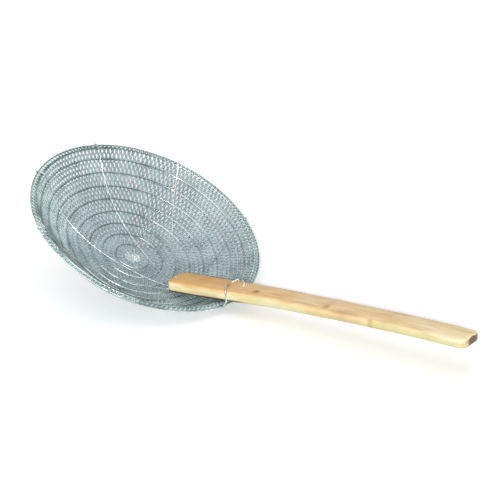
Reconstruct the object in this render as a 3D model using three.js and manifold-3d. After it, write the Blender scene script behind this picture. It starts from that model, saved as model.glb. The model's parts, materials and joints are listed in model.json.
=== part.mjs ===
// A kitchen skimmer: a shallow bowl of wire netting in a double hoop, on a flat bamboo handle.
// Millimetres, +Z up, the handle along +X. The skimmer stands balanced on the side of its bowl.

import * as THREE from "three";
import { mergeVertices } from "three/addons/utils/BufferGeometryUtils.js";
import Module from "manifold-3d";

const wasm = await Module();
wasm.setup();

// Bowl: the wall runs down from the edge of the net, which the two hoops hold between them.
const EDGE_RADIUS = 148.6;
const BOWL_DEPTH = 59;
const BOWL_POWER = 2.8; // how flat the bottom is against the wall
const TILT = THREE.MathUtils.degToRad(27.3); // lean of the rim towards the handle

// Wires
const HOOP_DIAMETER = 1.8;
const STRAND_WIDTH = 2.6; // a strand of the net, across the wall
const STRAND_THICKNESS = 1.6; // the same strand, through the wall
const RING_DIAMETER = 1.2;
const RIB_DIAMETER = 1.3;
const LASHING_DIAMETER = 1.0;
const TIE_DIAMETER = 1.4;
const CLEARANCE = 0.35; // between wires that lie on each other
const HOOP_SIDES = 8; // sides of the wires' sections
const WIRE_SIDES = 6;
const LASHING_SIDES = 5;

// Net: rows of diamond openings, halved in number twice on the way to the middle.
const NET_EYE_RADIUS = 9; // the innermost ring of the net
const ROWS_PER_ZONE = [5, 3, 3];
const EDGE_OPENING_COUNT = 36;
const FLAT_DEPTH = 0.5; // taken off the net where the skimmer stands

// Rings of wire on the inside of the net
const RING_COUNT = 8;
const RING_SPACING = 18; // along the wall, from the edge and from each other
const RING_STEPS = 48;
const EYE_STEPS = 24;

// Lashing of the two hoops, a wrap through every second opening of the net's edge
const STEPS_PER_WRAP = 8;

// Ribs: wires that fan out from the nose of the handle and hook over the rim
const RIB_ANGLES = [68, 115, 160, 205, 246.5, 294].map(THREE.MathUtils.degToRad); // of the hooks
const RIB_PLACES = [21, 9.5, 2, -2, -9.5, -21]; // across the handle, under it or beside it
const RIB_BOWS = [0, 0, 0, 7, 0, 0]; // how far each rib bends sideways on its way to the rim
const RIB_TAIL = 18; // length of a rib under the handle
const RIB_STEPS = 12;
const HOOK_STEPS = 7;
const HOOK_SWEEP = THREE.MathUtils.degToRad(215);

// Handle: a slat split from a bamboo culm, a little arched, thicker where it holds the bowl
const HANDLE_LENGTH = 420;
const NOSE_WIDTH = 38.6;
const TIP_WIDTH = 38.4;
const NOSE_THICKNESS = 15.2;
const TIP_THICKNESS = 11.2;
const TAPER_START = 54; // where the handle starts to get thinner, from the nose
const TAPER_END = 246;
const HANDLE_ARCH = 5.5;
const HANDLE_CROWN = 1; // rise of the rounded top over its edges
const HANDLE_EDGE_RADIUS = 2.5;
const EDGE_STEPS = 3; // of a rounded edge
const CROWN_PLACES = [0.5, 0, -0.5]; // points across the top, as shares of its half width
const NOSE_CORNER = 8;
const TIP_CORNER = 11;
const NOSE_RADIUS = 75; // distance of the nose from the axis of the bowl
const NODE_PLACE = 235; // the culm's joint, from the nose
const NODE_LENGTH = 16;
const NODE_SWELL = 0.7;
const HANDLE_STEPS = 24;
const CORNER_SHARES = [0, 0.04, 0.15, 0.35, 0.65, 1]; // sections through a rounded corner

// Ties: one round the rim on either side of the handle, one over the nose of the handle
const TIE_STEP = THREE.MathUtils.degToRad(30); // round the hoops
const TIE_STEPS = 5;
const TIE_TOP = 2; // across the handle, where the near tie ends on its top
const TIE_HOOK = 5; // how far the inner end of the far tie reaches over the edge of the handle
const TIE_END = 10; // reach of its outer end on the top of the handle, along and across
const NOSE_TIE_PLACE = 0; // across the handle, between two ribs
const NOSE_TIE_REACH = 6; // along the top of the handle

// Shape of the wall

function wallHeight(radius) {
  return -BOWL_DEPTH * (1 - (radius / EDGE_RADIUS) ** BOWL_POWER);
}

function wallSlope(radius) {
  return (BOWL_POWER * BOWL_DEPTH / EDGE_RADIUS) * (radius / EDGE_RADIUS) ** (BOWL_POWER - 1);
}

// The point on the wall at a radius and angle, with the wall's inward normal and its downward line.
function wallFrame(radius, angle) {
  const lean = Math.atan(wallSlope(radius));
  const outward = new THREE.Vector3(Math.cos(angle), Math.sin(angle), 0);
  const up = new THREE.Vector3(0, 0, 1);
  return {
    point: outward.clone().multiplyScalar(radius).setZ(wallHeight(radius)),
    normal: outward.clone().multiplyScalar(-Math.sin(lean)).addScaledVector(up, Math.cos(lean)),
    down: outward.clone().multiplyScalar(-Math.cos(lean)).addScaledVector(up, -Math.sin(lean)),
  };
}

function overWall(radius, angle, height) {
  const frame = wallFrame(radius, angle);
  return frame.point.addScaledVector(frame.normal, height);
}

function heightOverWall(point) {
  const radius = Math.hypot(point.x, point.y);
  return (point.z - wallHeight(radius)) * Math.cos(Math.atan(wallSlope(radius)));
}

// How far straight steps between points stand off the wall, past the height of the points.
function riseOfSteps(points, height) {
  let rise = 0;
  for (let i = 1; i < points.length; i += 1) {
    const middle = points[i - 1].clone().lerp(points[i], 0.5);
    rise = Math.max(rise, heightOverWall(middle) - height);
  }
  return rise;
}

// Length of the wall from its edge down to a radius.
function wallLength(radius) {
  const steps = 500;
  const step = (EDGE_RADIUS - radius) / steps;
  let length = 0;
  for (let i = 0; i < steps; i += 1) {
    length += step * Math.hypot(1, wallSlope(radius + (i + 0.5) * step));
  }
  return length;
}

// The radius at a length down the wall, found by halving.
function radiusAt(length) {
  let low = 0;
  let high = EDGE_RADIUS;
  for (let halving = 0; halving < 40; halving += 1) {
    const middle = (low + high) / 2;
    if (wallLength(middle) > length) {
      low = middle;
    } else {
      high = middle;
    }
  }
  return high;
}

// Solids

class WirePath extends THREE.Curve {
  constructor(points) {
    super();
    this.points = points;
  }

  getPointAt(place) {
    return this.points[Math.round(place * (this.points.length - 1))].clone();
  }

  getTangentAt(place) {
    const at = Math.round(place * (this.points.length - 1));
    const tangent = new THREE.Vector3();
    if (at > 0) {
      tangent.add(this.points[at].clone().sub(this.points[at - 1]).normalize());
    }
    if (at < this.points.length - 1) {
      tangent.add(this.points[at + 1].clone().sub(this.points[at]).normalize());
    }
    return tangent.normalize();
  }
}

function closed(geometry) {
  geometry.deleteAttribute("normal");
  geometry.deleteAttribute("uv");
  return mergeVertices(geometry, 1e-4);
}

function wire(points, diameter, sides) {
  const section = new THREE.Shape();
  for (let i = 0; i < sides; i += 1) {
    const angle = (2 * Math.PI * i) / sides;
    const corner = [Math.cos(angle) * diameter / 2, Math.sin(angle) * diameter / 2];
    if (i === 0) {
      section.moveTo(...corner);
    } else {
      section.lineTo(...corner);
    }
  }
  const path = new WirePath(points);
  return closed(new THREE.ExtrudeGeometry(section, { steps: points.length - 1, extrudePath: path }));
}

function fromTriangles(corners, triangles) {
  const geometry = new THREE.BufferGeometry();
  const positions = corners.flatMap((corner) => corner.toArray());
  geometry.setAttribute("position", new THREE.Float32BufferAttribute(positions, 3));
  geometry.setIndex(triangles);
  return geometry;
}

function toManifold(geometry) {
  return new wasm.Manifold(new wasm.Mesh({
    numProp: 3,
    vertProperties: new Float32Array(geometry.attributes.position.array),
    triVerts: new Uint32Array(geometry.index.array),
  }));
}

function fromManifold(manifold) {
  const mesh = manifold.getMesh();
  const geometry = new THREE.BufferGeometry();
  geometry.setAttribute("position", new THREE.BufferAttribute(mesh.vertProperties, 3));
  geometry.setIndex(new THREE.BufferAttribute(mesh.triVerts, 1));
  return geometry;
}

// Net

const netRows = ROWS_PER_ZONE.reduce((sum, rows) => sum + rows, 0);
const rowLength = wallLength(NET_EYE_RADIUS) / netRows;
const netRadii = Array.from({ length: netRows + 1 }, (_, row) => radiusAt(row * rowLength));
const HALF_OPENINGS = 2 * EDGE_OPENING_COUNT; // angles are counted in half openings of the edge

// The rows of knots: each has its first knot and the step to the next, in half openings.
function knotRows() {
  const rows = [{ first: 1, step: 2 }];
  ROWS_PER_ZONE.forEach((count, zone) => {
    const step = 2 * 2 ** zone;
    for (let i = 0; i < count; i += 1) {
      const above = rows.at(-1);
      const first = above.step === step ? above.first + step / 2 : above.first + above.step;
      rows.push({ first: first % step, step });
    }
  });
  return rows;
}

// Openings as rings of knots, each named by its row and its place, counterclockwise from inside.
function netOpenings(rows) {
  const last = rows.length - 1;
  const openings = [];
  const edge = [];
  const eye = [];
  const knot = (row, place) => `${row}:${((place % HALF_OPENINGS) + HALF_OPENINGS) % HALF_OPENINGS}`;
  for (let place = rows[0].first; place < HALF_OPENINGS; place += 2) {
    openings.push([knot(0, place), knot(0, place + 1), knot(0, place + 2), knot(1, place + 1)]);
    edge.unshift(knot(0, place + 1), knot(0, place));
  }
  for (let row = 1; row < last; row += 1) {
    const { first, step } = rows[row];
    const narrows = rows[row + 1].step > step;
    const start = narrows ? rows[row + 1].first - step : first;
    for (let place = start; place < start + HALF_OPENINGS; place += narrows ? 2 * step : step) {
      const half = step / 2;
      const opening = [knot(row, place), knot(row - 1, place + half), knot(row, place + step)];
      if (narrows) {
        opening.push(knot(row - 1, place + step + half), knot(row, place + 2 * step));
        opening.push(knot(row + 1, place + step));
      } else {
        opening.push(knot(row + 1, place + half));
      }
      openings.push(opening);
    }
  }
  const { first, step } = rows[last];
  for (let place = first; place < first + HALF_OPENINGS; place += step) {
    openings.push([knot(last, place), knot(last - 1, place + step / 2), knot(last, place + step)]);
    eye.push(knot(last, place));
  }
  return [...openings, edge, eye];
}

function knotFrame(name) {
  const [row, place] = name.split(":").map(Number);
  return wallFrame(netRadii[row], (place * 2 * Math.PI) / HALF_OPENINGS);
}

// A corner of an opening, half a strand in from the knots' lines on either side of it.
function openingCorner(before, at, after) {
  const back = before.point.clone().sub(at.point).normalize();
  const ahead = after.point.clone().sub(at.point).normalize();
  const sine = ahead.clone().cross(back).dot(at.normal);
  return at.point.clone().addScaledVector(back.add(ahead), STRAND_WIDTH / 2 / sine);
}

function strandRise(openings) {
  let rise = 0;
  for (const opening of openings) {
    const points = opening.map((name) => knotFrame(name).point);
    rise = Math.max(rise, riseOfSteps([...points, points[0]], 0));
  }
  return rise;
}

// Each strand has a ridge on either side of the wall and an edge towards each opening.
function netSolid(openings) {
  const corners = [];
  const triangles = [];
  const ridges = new Map();
  const add = (point) => corners.push(point) - 1;
  const quad = (a, b, c, d) => triangles.push(a, b, c, a, c, d);
  const ridge = (name) => {
    if (!ridges.has(name)) {
      const { point, normal } = knotFrame(name);
      const inner = point.clone().addScaledVector(normal, STRAND_THICKNESS / 2);
      const outer = point.clone().addScaledVector(normal, -STRAND_THICKNESS / 2);
      ridges.set(name, { inner: add(inner), outer: add(outer) });
    }
    return ridges.get(name);
  };
  for (const opening of openings) {
    const count = opening.length;
    const frames = opening.map(knotFrame);
    const rim = frames.map((frame, i) => (
      add(openingCorner(frames[(i + count - 1) % count], frame, frames[(i + 1) % count]))
    ));
    for (let i = 0; i < count; i += 1) {
      const next = (i + 1) % count;
      const here = ridge(opening[i]);
      const there = ridge(opening[next]);
      quad(here.inner, there.inner, rim[next], rim[i]);
      quad(here.outer, rim[i], rim[next], there.outer);
    }
  }
  return fromTriangles(corners, triangles);
}

// The part of a solid in the bowl's frame that lies above the plane on which the skimmer stands.
function standFlat(geometry) {
  const tilt = new THREE.Matrix4().makeRotationY(TILT);
  const box = new THREE.Box3();
  const corner = new THREE.Vector3();
  const positions = geometry.attributes.position;
  for (let i = 0; i < positions.count; i += 1) {
    box.expandByPoint(corner.fromBufferAttribute(positions, i).applyMatrix4(tilt));
  }
  const size = 4 * EDGE_RADIUS;
  const below = new THREE.BoxGeometry(size, size, size);
  below.translate(0, 0, box.min.z + FLAT_DEPTH - size / 2);
  below.applyMatrix4(tilt.clone().invert());
  return fromManifold(toManifold(geometry).subtract(toManifold(closed(below))));
}

const openings = netOpenings(knotRows());

// Heights of the layers of wire over the middle of the net's wall
const hoopHeight = STRAND_THICKNESS / 2 + CLEARANCE + HOOP_DIAMETER / 2;
const netTop = STRAND_THICKNESS / 2 + strandRise(openings);
const ringHeight = netTop + CLEARANCE + RING_DIAMETER / 2;
const ringRadii = Array.from({ length: RING_COUNT }, (_, i) => radiusAt((i + 1) * RING_SPACING));
const ringStep = [0, 2 * Math.PI / RING_STEPS].map((angle) => overWall(ringRadii[0], angle, ringHeight));
const ringTop = ringHeight + riseOfSteps(ringStep, ringHeight) + RING_DIAMETER / 2;
const ribHeight = ringTop + CLEARANCE + RIB_DIAMETER / 2;

// Rim: windings go round both hoops on an oval, as polygons that stay clear of the hoops

function roundRim(angle, turn, reach, width) {
  const { point, normal, down } = wallFrame(EDGE_RADIUS, angle);
  point.addScaledVector(normal, reach * Math.cos(turn));
  return point.addScaledVector(down, width * Math.sin(turn));
}

const wrapSlack = 1 / Math.cos(Math.PI / STEPS_PER_WRAP);
const wrapLayer = HOOP_DIAMETER / 2 + CLEARANCE + LASHING_DIAMETER / 2;
const lashingReach = (hoopHeight + wrapLayer) * wrapSlack;
const lashingWidth = wrapLayer * wrapSlack * wrapSlack;
const hookLayer = LASHING_DIAMETER / 2 + CLEARANCE + RIB_DIAMETER / 2;
const hookSlack = 1 / Math.cos(HOOK_SWEEP / HOOK_STEPS / 2);
const hookReach = (lashingReach + hookLayer) * hookSlack;
const hookWidth = (lashingWidth + hookLayer) * hookSlack;

function lashingPoints() {
  const wrapAngle = (4 * Math.PI) / EDGE_OPENING_COUNT;
  const wraps = EDGE_OPENING_COUNT / 2 - 1;
  const points = [];
  for (let i = 0; i <= wraps * STEPS_PER_WRAP; i += 1) {
    const wrap = i / STEPS_PER_WRAP;
    const turn = 2 * Math.PI * (wrap + 0.75);
    points.push(roundRim((wrap + 0.5) * wrapAngle, turn, lashingReach, lashingWidth));
  }
  return points;
}

// The least gap of the lashing to itself, between points at least half a wrap apart.
function lashingGap(points) {
  let least = Infinity;
  for (let i = 0; i < points.length; i += 1) {
    for (let j = i + STEPS_PER_WRAP / 2; j < points.length; j += 1) {
      least = Math.min(least, points[i].distanceTo(points[j]) - LASHING_DIAMETER);
    }
  }
  return least;
}

// Handle: its own frame has X from nose to tip, Y across and Z up from the ends of its underside

// The arch is eased towards the nose, so that the handle is straighter where it is tied down.
function underside(along) {
  const share = along / HANDLE_LENGTH;
  return HANDLE_ARCH * (share < 0.5 ? Math.sin(Math.PI * share) ** 2 : 4 * share * (1 - share));
}

function nodeSwell(along) {
  return NODE_SWELL * Math.exp(-((2 * (along - NODE_PLACE) / NODE_LENGTH) ** 2));
}

function handleThickness(along) {
  const taper = THREE.MathUtils.smoothstep(along, TAPER_START, TAPER_END);
  return THREE.MathUtils.lerp(NOSE_THICKNESS, TIP_THICKNESS, taper) + nodeSwell(along);
}

function handleWidth(along) {
  return THREE.MathUtils.lerp(NOSE_WIDTH, TIP_WIDTH, along / HANDLE_LENGTH) + nodeSwell(along);
}

// The handle lies on the inner hoop, and the underside of its nose on the ribs.
function handleFrame() {
  const half = NOSE_WIDTH / 2;
  const rim = wallFrame(EDGE_RADIUS, Math.asin(half / EDGE_RADIUS));
  const seat = rim.point.clone().addScaledVector(rim.normal, hoopHeight + HOOP_DIAMETER / 2 + CLEARANCE);
  const nose = overWall(NOSE_RADIUS, 0, ribHeight + RIB_DIAMETER / 2 + CLEARANCE);
  const across = seat.x - nose.x;
  const rise = seat.z - nose.z;
  const reach = Math.hypot(across, rise);
  const pitch = Math.atan2(rise, across) - Math.atan2(underside(reach), reach);
  return { nose, pitch, rimPlace: reach };
}

const { nose, pitch, rimPlace } = handleFrame();
const handleMatrix = new THREE.Matrix4().makeRotationY(-pitch).setPosition(nose.x, 0, nose.z);

function onHandle(along, across, height) {
  return new THREE.Vector3(along, across, underside(along) + height).applyMatrix4(handleMatrix);
}

function cornerInset(along) {
  const fromNose = Math.max(0, NOSE_CORNER - along);
  const fromTip = Math.max(0, TIP_CORNER - (HANDLE_LENGTH - along));
  const nosePart = NOSE_CORNER - Math.sqrt(NOSE_CORNER ** 2 - fromNose ** 2);
  const tipPart = TIP_CORNER - Math.sqrt(TIP_CORNER ** 2 - fromTip ** 2);
  return nosePart + tipPart;
}

function handlePlaces() {
  const places = CORNER_SHARES.map((share) => share * NOSE_CORNER);
  const body = HANDLE_LENGTH - NOSE_CORNER - TIP_CORNER;
  for (let i = 1; i < HANDLE_STEPS; i += 1) {
    places.push(NOSE_CORNER + (body * i) / HANDLE_STEPS);
  }
  for (const share of [-0.5, 0, 0.5]) {
    places.push(NODE_PLACE + share * NODE_LENGTH);
  }
  places.push(...CORNER_SHARES.map((share) => HANDLE_LENGTH - share * TIP_CORNER));
  return places.sort((a, b) => a - b);
}

function handleSection(along) {
  const half = handleWidth(along) / 2 - cornerInset(along) - HANDLE_EDGE_RADIUS;
  const thick = handleThickness(along);
  const points = [];
  const add = (across, height) => points.push(new THREE.Vector3(along, across, underside(along) + height));
  for (let corner = 0; corner < 4; corner += 1) {
    const side = corner === 0 || corner === 3 ? 1 : -1;
    const middle = corner < 2 ? thick - HANDLE_CROWN - HANDLE_EDGE_RADIUS : HANDLE_EDGE_RADIUS;
    for (let i = 0; i <= EDGE_STEPS; i += 1) {
      const angle = ((corner + i / EDGE_STEPS) * Math.PI) / 2;
      add(side * half + HANDLE_EDGE_RADIUS * Math.cos(angle), middle + HANDLE_EDGE_RADIUS * Math.sin(angle));
    }
    if (corner === 0) {
      CROWN_PLACES.forEach((place) => add(place * half, thick - HANDLE_CROWN * place ** 2));
    }
  }
  return points;
}

function loft(sections) {
  const count = sections[0].length;
  const triangles = [];
  for (let ring = 1; ring < sections.length; ring += 1) {
    for (let i = 0; i < count; i += 1) {
      const next = (i + 1) % count;
      const a = (ring - 1) * count + i;
      const b = (ring - 1) * count + next;
      const c = ring * count + next;
      const d = ring * count + i;
      triangles.push(a, b, c, a, c, d);
    }
  }
  const lastRing = (sections.length - 1) * count;
  for (let i = 1; i < count - 1; i += 1) {
    triangles.push(0, i + 1, i, lastRing, lastRing + i, lastRing + i + 1);
  }
  return fromTriangles(sections.flat(), triangles);
}

// Ribs

// A rib that starts beside the handle lies on the rings from there on, the others pass under the nose.
function ribPoints(angle, across, bow) {
  const points = [];
  if (Math.abs(across) > NOSE_WIDTH / 2) {
    const beside = onHandle(RIB_TAIL, across, 0);
    points.push(overWall(Math.hypot(beside.x, beside.y), Math.atan2(beside.y, beside.x), ribHeight));
  } else {
    const under = -CLEARANCE - RIB_DIAMETER / 2;
    points.push(onHandle(RIB_TAIL, across, under), onHandle(RIB_TAIL / 2, across, under));
    points.push(onHandle(0, across, under));
  }
  const start = points.at(-1).clone();
  const end = wallFrame(EDGE_RADIUS, angle).point;
  const ahead = end.clone().sub(start).setZ(0).normalize();
  const sideways = new THREE.Vector3(-ahead.y, ahead.x, 0);
  for (let i = 1; i <= RIB_STEPS; i += 1) {
    const share = i / RIB_STEPS;
    const plan = start.clone().lerp(end, share).addScaledVector(sideways, 4 * bow * share * (1 - share));
    const climb = THREE.MathUtils.smoothstep(i, RIB_STEPS - 2, RIB_STEPS);
    const height = THREE.MathUtils.lerp(ribHeight, hookReach, climb);
    points.push(overWall(Math.hypot(plan.x, plan.y), Math.atan2(plan.y, plan.x), height));
  }
  for (let i = 1; i <= HOOK_STEPS; i += 1) {
    points.push(roundRim(angle, (-HOOK_SWEEP * i) / HOOK_STEPS, hookReach, hookWidth));
  }
  return points;
}

// Ties

const tieLayer = HOOP_DIAMETER / 2 + CLEARANCE + TIE_DIAMETER / 2;
const tieSlack = 1 / Math.cos(TIE_STEP / 2);
const tieReach = (hoopHeight + tieLayer) * tieSlack;
const tieWidth = tieLayer * tieSlack * tieSlack;
const tieInside = rimPlace - tieWidth - TIE_DIAMETER;
const tieOutside = rimPlace + tieWidth + TIE_DIAMETER;
const tieSide = handleWidth(rimPlace) / 2 + CLEARANCE + TIE_DIAMETER / 2;
const tieOver = handleThickness(tieInside) + CLEARANCE + TIE_DIAMETER / 2;

// Round both hoops from the inside of the rim to its outside, beside the handle.
function underHoops(across) {
  const angle = Math.asin(across / EDGE_RADIUS);
  const points = [];
  for (let step = 0; step <= TIE_STEPS; step += 1) {
    points.push(roundRim(angle, Math.PI / 2 + step * TIE_STEP, tieReach, tieWidth));
  }
  return points;
}

// From under the hoops up the near side of the handle, to an end on the middle of its top.
function nearTiePoints() {
  return [
    ...underHoops(-tieSide),
    onHandle(tieOutside, -tieSide, tieOver),
    onHandle(tieInside, TIE_TOP, tieOver),
  ];
}

// Under the hoops on the far side of the handle, with both ends over the edge of its top.
function farTiePoints() {
  return [
    onHandle(tieInside, tieSide - TIE_HOOK, tieOver),
    onHandle(tieInside, tieSide, tieOver),
    ...underHoops(tieSide),
    onHandle(tieOutside, tieSide, tieOver),
    onHandle(tieOutside + TIE_END, tieSide - TIE_END, tieOver),
  ];
}

// The tie comes from between two ribs, up the end of the handle and over its top edge.
function noseTiePoints() {
  const gap = CLEARANCE + TIE_DIAMETER / 2;
  const slant = gap * Math.SQRT1_2;
  const top = handleThickness(0);
  return [
    onHandle(RIB_TAIL / 2, NOSE_TIE_PLACE, -gap),
    onHandle(0, NOSE_TIE_PLACE, -gap),
    onHandle(-slant, NOSE_TIE_PLACE, -slant),
    onHandle(-gap, NOSE_TIE_PLACE, 0),
    onHandle(-gap, NOSE_TIE_PLACE, top),
    onHandle(-slant, NOSE_TIE_PLACE, top + slant),
    onHandle(0, NOSE_TIE_PLACE, top + gap),
    onHandle(NOSE_TIE_REACH, NOSE_TIE_PLACE, top + gap),
  ];
}

// Materials and pieces

function metal(color, roughness) {
  return new THREE.MeshStandardMaterial({ color, roughness, metalness: 0.9 });
}

const bowl = new THREE.Group();

function piece(name, geometry, material) {
  const mesh = new THREE.Mesh(geometry, material);
  mesh.name = name;
  bowl.add(mesh);
  return mesh;
}

// A ring of wire round the bowl, at a height over its wall.
function ring(radius, height, diameter, sides, steps) {
  const side = overWall(radius, 0, height);
  const torus = new THREE.TorusGeometry(side.x, diameter / 2, sides, steps);
  torus.translate(0, 0, side.z);
  return closed(torus);
}

function hoop(name, height) {
  const geometry = ring(EDGE_RADIUS, height, HOOP_DIAMETER, HOOP_SIDES, HALF_OPENINGS);
  piece(name, geometry, metal(0xaab4b3, 0.35));
}

const handle = piece("handle", loft(handlePlaces().map(handleSection)), new THREE.MeshStandardMaterial({
  color: 0xdeb278,
  roughness: 0.6,
  metalness: 0,
}));
handle.applyMatrix4(handleMatrix);

hoop("outer_hoop", -hoopHeight);
hoop("inner_hoop", hoopHeight);
piece("net", standFlat(netSolid(openings)), metal(0x9aa6a4, 0.45));

ringRadii.forEach((radius, i) => {
  const geometry = ring(radius, ringHeight, RING_DIAMETER, WIRE_SIDES, RING_STEPS);
  piece(`ring_${i + 1}`, geometry, metal(0x8b9795, 0.4));
});
const eyeRing = ring(NET_EYE_RADIUS, ringHeight, RING_DIAMETER, WIRE_SIDES, EYE_STEPS);
piece("eye_ring", eyeRing, metal(0xc3cccb, 0.35));

const lashingLine = lashingPoints();
piece("rim_lashing", wire(lashingLine, LASHING_DIAMETER, LASHING_SIDES), metal(0xc3cccb, 0.35));

RIB_ANGLES.forEach((angle, i) => {
  const points = ribPoints(angle, RIB_PLACES[i], RIB_BOWS[i]);
  piece(`rib_${i + 1}`, wire(points, RIB_DIAMETER, WIRE_SIDES), metal(0xc9d2d0, 0.3));
});

piece("rim_tie_1", wire(nearTiePoints(), TIE_DIAMETER, WIRE_SIDES), metal(0xc3cccb, 0.35));
piece("rim_tie_2", wire(farTiePoints(), TIE_DIAMETER, WIRE_SIDES), metal(0xc3cccb, 0.35));
piece("nose_tie", wire(noseTiePoints(), TIE_DIAMETER, WIRE_SIDES), metal(0xd5dcda, 0.3));

console.log(`least gap of the rim lashing to itself: ${lashingGap(lashingLine).toFixed(2)} mm`);

// The bowl is tilted as it stands, and the origin lies under the middle of the whole skimmer.
bowl.rotation.y = TILT;
const skimmer = new THREE.Group();
skimmer.add(bowl);
skimmer.updateMatrixWorld(true);
const reach = new THREE.Box3().setFromObject(skimmer, true);
const centre = reach.getCenter(new THREE.Vector3());
bowl.position.set(-centre.x, -centre.y, -reach.min.z);

export default skimmer;
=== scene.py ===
# A wire skimmer in plain studio light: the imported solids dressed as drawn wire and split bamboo.

import json
import math

import bpy
import numpy as np
from mathutils import Matrix, Vector

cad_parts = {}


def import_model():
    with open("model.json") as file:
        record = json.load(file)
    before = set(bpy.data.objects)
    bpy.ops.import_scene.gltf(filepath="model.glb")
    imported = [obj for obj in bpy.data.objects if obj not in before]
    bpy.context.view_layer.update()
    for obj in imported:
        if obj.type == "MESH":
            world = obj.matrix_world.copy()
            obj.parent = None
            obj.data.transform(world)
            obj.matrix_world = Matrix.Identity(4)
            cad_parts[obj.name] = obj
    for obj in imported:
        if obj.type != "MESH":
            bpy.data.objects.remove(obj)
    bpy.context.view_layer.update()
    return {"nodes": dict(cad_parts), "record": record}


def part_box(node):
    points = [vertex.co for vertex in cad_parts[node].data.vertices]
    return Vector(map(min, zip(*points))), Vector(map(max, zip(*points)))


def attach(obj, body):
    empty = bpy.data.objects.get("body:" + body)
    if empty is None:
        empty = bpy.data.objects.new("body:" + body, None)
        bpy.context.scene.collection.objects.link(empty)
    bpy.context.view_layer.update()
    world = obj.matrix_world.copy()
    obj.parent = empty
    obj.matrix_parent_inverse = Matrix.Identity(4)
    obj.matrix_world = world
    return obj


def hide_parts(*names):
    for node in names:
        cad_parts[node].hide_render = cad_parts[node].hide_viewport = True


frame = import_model()

MM = 0.001

# Bowl, as in the solids: the wall runs down from the edge of the net.
EDGE_RADIUS = 148.6 * MM
BOWL_DEPTH = 59 * MM
BOWL_POWER = 2.8
TILT = math.radians(27.3)
WALL_STEPS = 2000

# Wires
HOOP_DIAMETER = 1.5 * MM
HOOP_HEIGHT = 2.2 * MM  # middle of a hoop from the edge of the net, along the wall's normal
HOOP_DROP = 3.4 * MM  # how far the inner hoop sits below the outer one, down the wall
NET_DIAMETER = 2.2 * MM
RING_DIAMETER = 1.2 * MM
RIB_DIAMETER = 1.2 * MM
WRAP_DIAMETER = 0.8 * MM
TIE_DIAMETER = 1.6 * MM
NEAR_TIE_DIAMETER = 2.24 * MM
EYE_DIAMETER = 1.0 * MM
CLEARANCE = 0.1 * MM

# Rings, equal lengths apart down the wall
RING_COUNT = 8
RING_SPACING = 18 * MM
RING_STEPS = 192
RING_SIDES = 10
RING_WAVER = 0.3 * MM
RING_WAVES = (5, 3)  # waves round a ring
DULL_STRETCH = (112, 200)  # degrees round the bowl between which the rings get no painted highlight and stay dark
DULL_FADES = (15, 30)  # degrees to each side of these over which the painted highlight fades
# Painted highlight of the rings outside that stretch
RING_HIGHLIGHT = 0.3
# Painted highlights on arcs of the rings: middle and half width in degrees, and which rings have it
HIGHLIGHT_ARCS = (
    (94, 20, (1, 2, 3, 4, 5, 7)),
    (304, 34, (2, 3, 4, 5, 6, 7, 8)),
)
ARC_FADE = 8
ARC_HIGHLIGHT = 0.7
ARC_SHIFT = 6  # degrees that an arc lies off its middle at most, from ring to ring

# Net: rows of loops between the rings
ROWS_PER_RING = 3
LOOP_PITCH = 5.84 * MM
LOOP_STEPS = 12
LOOP_HOOK = 1.6 * MM  # how far a loop reaches into the next row
LOOP_LIFT = 0.45 * NET_DIAMETER  # how far it rises and dips where it hooks through
LOOP_JITTER = 0.05
ZIGZAG_PEAK = 1.15
NET_SIDES = 6
NET_LIT = (195, 345)  # degrees round the bowl between which the net is painted lighter, where the grazing light leaves it in shade
NET_FADE = 20
NET_LIT_REACH = (0.45, 0.75)  # shares of the edge's radius over which this sets in
NET_PAINTED_LIGHT = 0.52

# Eye: a wound ring, and loops drawn together in the middle
EYE_RADIUS = 9 * MM
EYE_HOLE = 2.6 * MM
EYE_STEPS = 48
EYE_LOOPS = 11
EYE_LOOP_HEIGHT = 0.8 * NET_DIAMETER
EYE_LOOP_LIFT = 0.6 * NET_DIAMETER
EYE_HOLE_HEIGHT = 0.9 * NET_DIAMETER
EYE_WRAPS = 26
EYE_WRAP_STEPS = 8
EYE_COIL = 0.95 * RING_DIAMETER
EYE_LAYER = 0.6  # height of the wound ring over the wall, as a share of the other rings'

# Rim
HOOP_STEPS = 288
HOOP_SIDES = 12
RIM_WRAPS = 160
WRAP_STEPS = 12
WRAP_SIDES = 6
WRAP_START = 0.02  # of a turn
# Painted highlights on the wires of the rim, where the light catches them, at angles in degrees round it
RIM_HIGHLIGHT_ANGLES = (0, 20, 35, 95, 115, 200, 225, 262, 268, 294, 300, 360)
RIM_HIGHLIGHT = (0.4, 0.2, 0.0, 0.0, 0.0, 0.0, 0.4, 0.5, 1.0, 1.0, 0.4, 0.4)
INNER_HOOP_HIGHLIGHT = (0.4, 0.7, 1.2, 1.2, 0.3, 0.0, 0.4, 0.5, 1.0, 1.0, 0.4, 0.4)

# Ribs: degrees round the rim, millimetres across the handle, sideways bow in millimetres, and the
# painted highlight of each at five places from the nose of the handle to the end of its hook
RIBS = (
    (68, 21, 0, (0.1, 0.1, 0.15, 0.2, 0.25)),
    (115, 9.5, 0, (0.0, 0.2, 0.5, 0.9, 0.7)),
    (160, 2, 0, (0.0, 0.55, 1.0, 0.05, 0.1)),
    (205, -2, 7, (0.0, 0.15, 0.85, 0.3, 0.1)),
    (246.5, -9.5, 0, (0.15, 0.15, 0.2, 0.2, 0.3)),
    (294, -21, 0, (0.15, 0.2, 0.2, 0.2, 0.3)),
)
RIB_TAIL = 18 * MM  # how far a rib runs under the handle
RIB_TAIL_STEPS = 4
RIB_NEST = 0.7 * RIB_DIAMETER  # how far its middle lies below the handle there
RIB_STEPS = 48
RIB_SIDES = 8
RIB_CLIMB = 0.84  # share of its run from which it rises to the hoops
HOOK_TURNS = 1.3
HOOK_STEPS = 14
HOOK_PITCH = 1.1 * RIB_DIAMETER

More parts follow.
